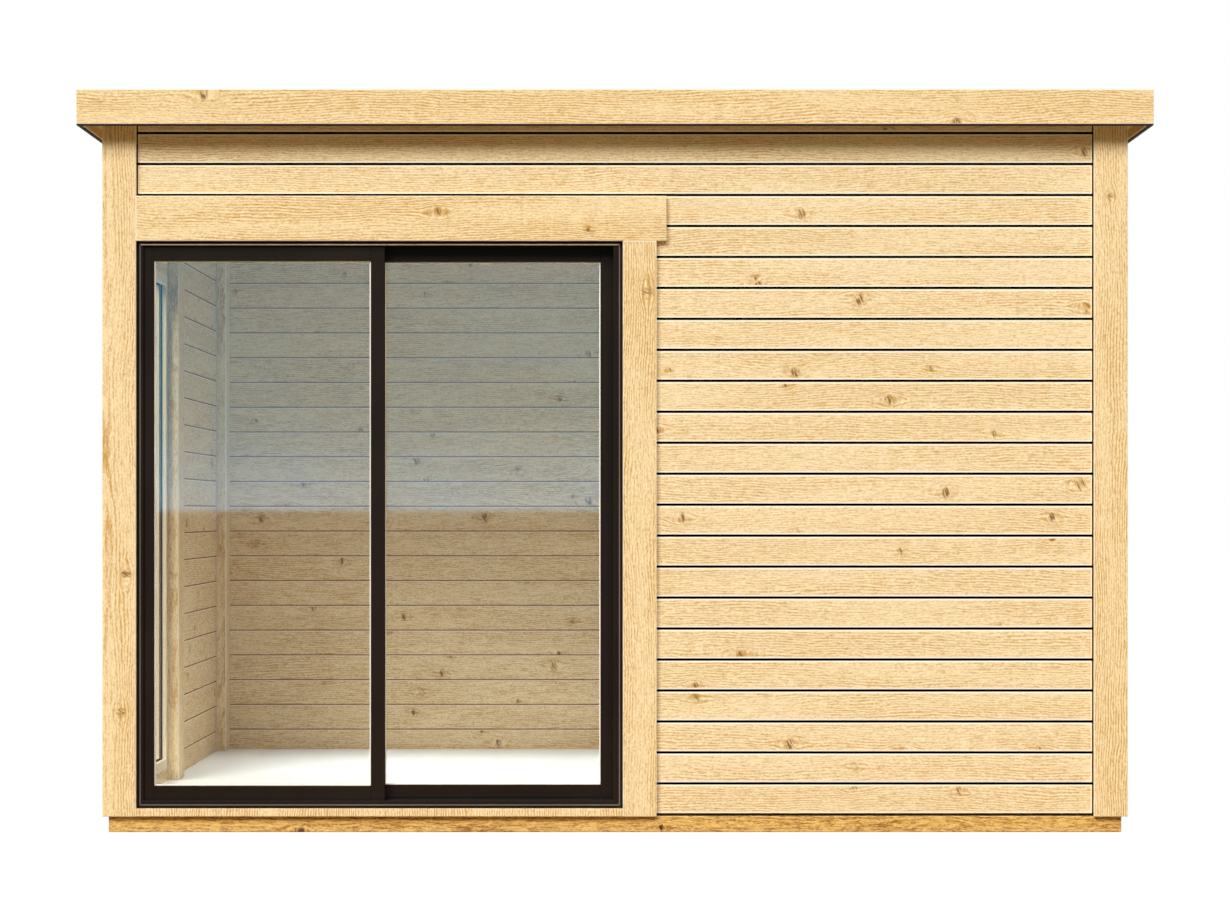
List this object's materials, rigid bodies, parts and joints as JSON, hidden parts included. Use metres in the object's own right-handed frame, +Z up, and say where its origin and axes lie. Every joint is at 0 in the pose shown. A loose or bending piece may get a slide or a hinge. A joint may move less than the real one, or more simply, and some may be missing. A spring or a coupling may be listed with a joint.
{
  "type": "garden house",
  "caption": "Flat-roofed timber garden house of level boards with a wide two-track sliding glass door beside a plain wall and a full-height side window.",
  "frame": {"origin": "on the ground in the middle of the plan", "axes": "+X to the right seen from the front, +Y from the door front to the back wall, +Z up"},
  "size_m": [3.826, 2.746, 2.649],
  "materials": {
    "wall_boards": "planed spruce, untreated",
    "trim_boards": "planed spruce, untreated",
    "base_timber": "impregnated spruce, strong grain",
    "frame_timber": "planed spruce, untreated",
    "floor_boards": "white painted boards, matt",
    "roof_membrane": "black roofing sheet, matt",
    "dark_aluminium": "dark brown powder coat, satin",
    "glazing": "clear toughened glass",
    "roller_plastic": "black nylon"
  },
  "bodies": {
    "house": {"back_wall": "wall_boards", "base_beams_long": "base_timber", "base_beams_short": "base_timber", "corner_posts": "frame_timber", "door_head_track": "dark_aluminium", "door_header_trim": "trim_boards", "door_jamb_left": "dark_aluminium", "door_jamb_lips": "dark_aluminium", "door_jamb_right": "dark_aluminium", "door_post": "frame_timber", "door_side_trim": "trim_boards", "door_sill_beam": "frame_timber", "door_sill_strip": "trim_boards", "door_sill_track": "dark_aluminium", "door_track_lips": "dark_aluminium", "eaves_battens": "frame_timber", "end_corner_boards": "trim_boards", "fascias_long": "trim_boards", "fascias_short": "trim_boards", "floor_deck": "floor_boards", "floor_joists": "base_timber", "front_wall_beside_door": "wall_boards", "front_wall_over_door": "wall_boards", "left_wall_beside_window": "wall_boards", "left_wall_over_window": "wall_boards", "left_wall_under_window": "wall_boards", "middle_posts": "frame_timber", "rafters": "frame_timber", "right_wall": "wall_boards", "rim_boards_long": "frame_timber", "rim_boards_short": "frame_timber", "roof_deck": "frame_timber", "roof_membrane": "roof_membrane", "side_corner_boards": "trim_boards", "side_window_glass": "glazing", "side_window_jambs": "frame_timber", "side_window_rails": "frame_timber", "window_casings_level": "trim_boards", "window_casings_upright": "trim_boards"},
    "left_sash": {"left_sash_glass": "glazing", "left_sash_rails": "dark_aluminium", "left_sash_rollers": "roller_plastic", "left_sash_stiles": "dark_aluminium"},
    "right_sash": {"right_sash_glass": "glazing", "right_sash_rails": "dark_aluminium", "right_sash_rollers": "roller_plastic", "right_sash_stiles": "dark_aluminium"}
  },
  "joints": [
    {"name": "left_sash_slide", "type": "slide", "parent": "house", "child": "left_sash", "axis": [1, 0, 0], "range_m": [0, 0.82]},
    {"name": "right_sash_slide", "type": "slide", "parent": "house", "child": "right_sash", "axis": [1, 0, 0], "range_m": [-0.82, 0]}
  ]
}
